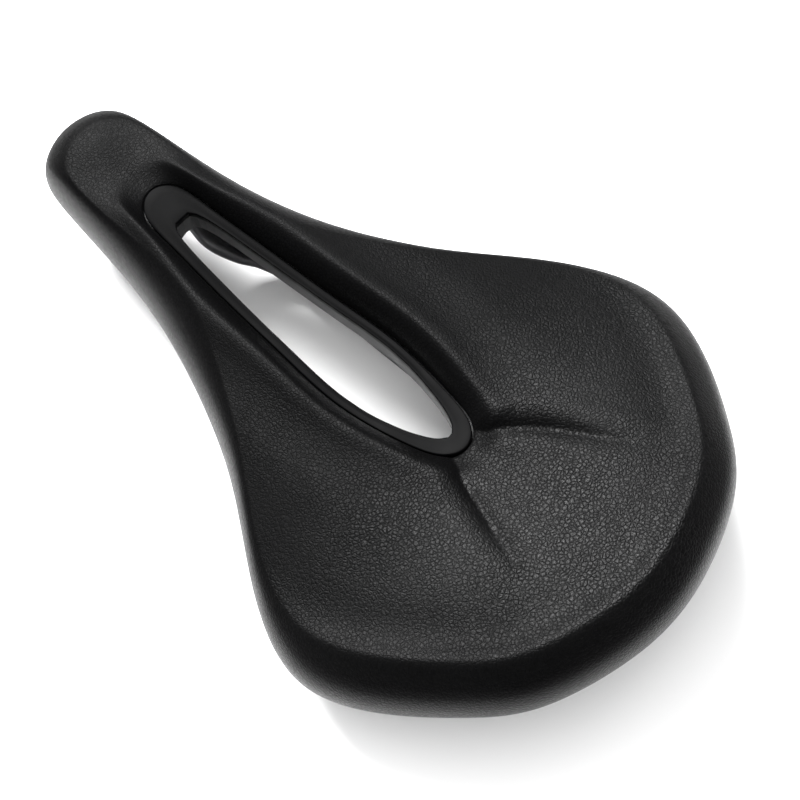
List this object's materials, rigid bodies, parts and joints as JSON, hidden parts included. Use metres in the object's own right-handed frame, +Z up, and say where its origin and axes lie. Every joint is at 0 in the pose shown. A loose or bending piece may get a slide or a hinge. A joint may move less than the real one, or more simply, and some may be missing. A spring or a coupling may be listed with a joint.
{
  "type": "bicycle saddle",
  "caption": "Short-nose bicycle saddle with a long relief opening, padded microfibre cover, plastic shell and round steel rails.",
  "frame": {"origin": "middle of the length and width, at the level of the rail undersides", "axes": "nose points to -Y, tail to +Y, rider's left is +X, +Z is up"},
  "size_m": [0.1472, 0.24, 0.0582],
  "materials": {
    "cover_skin": "satin, pebbled grain",
    "foam": "matte",
    "sit_pad": "matte",
    "shell_nylon": "fine moulded texture",
    "trim_plastic": "smooth matte",
    "rail_steel": "satin black",
    "elastomer": "matte",
    "screw_steel": "zinc plated",
    "insert_brass": "turned"
  },
  "bodies": {
    "root": {"cover": "cover_skin", "foam_pad": "foam", "sit_pad_left": "sit_pad", "sit_pad_right": "sit_pad", "base_shell": "shell_nylon", "cutout_trim": "trim_plastic", "rail": "rail_steel", "rear_bushing_left": "elastomer", "rear_bushing_right": "elastomer", "nose_pad": "elastomer", "nose_clamp": "shell_nylon", "rear_clamp_left": "shell_nylon", "rear_clamp_right": "shell_nylon", "nose_screw_front": "screw_steel", "nose_screw_rear": "screw_steel", "nose_insert_front": "insert_brass", "nose_insert_rear": "insert_brass", "rear_screw_left_inner": "screw_steel", "rear_screw_left_outer": "screw_steel", "rear_screw_right_inner": "screw_steel", "rear_screw_right_outer": "screw_steel", "rear_insert_left_inner": "insert_brass", "rear_insert_left_outer": "insert_brass", "rear_insert_right_inner": "insert_brass", "rear_insert_right_outer": "insert_brass"}
  },
  "joints": []
}
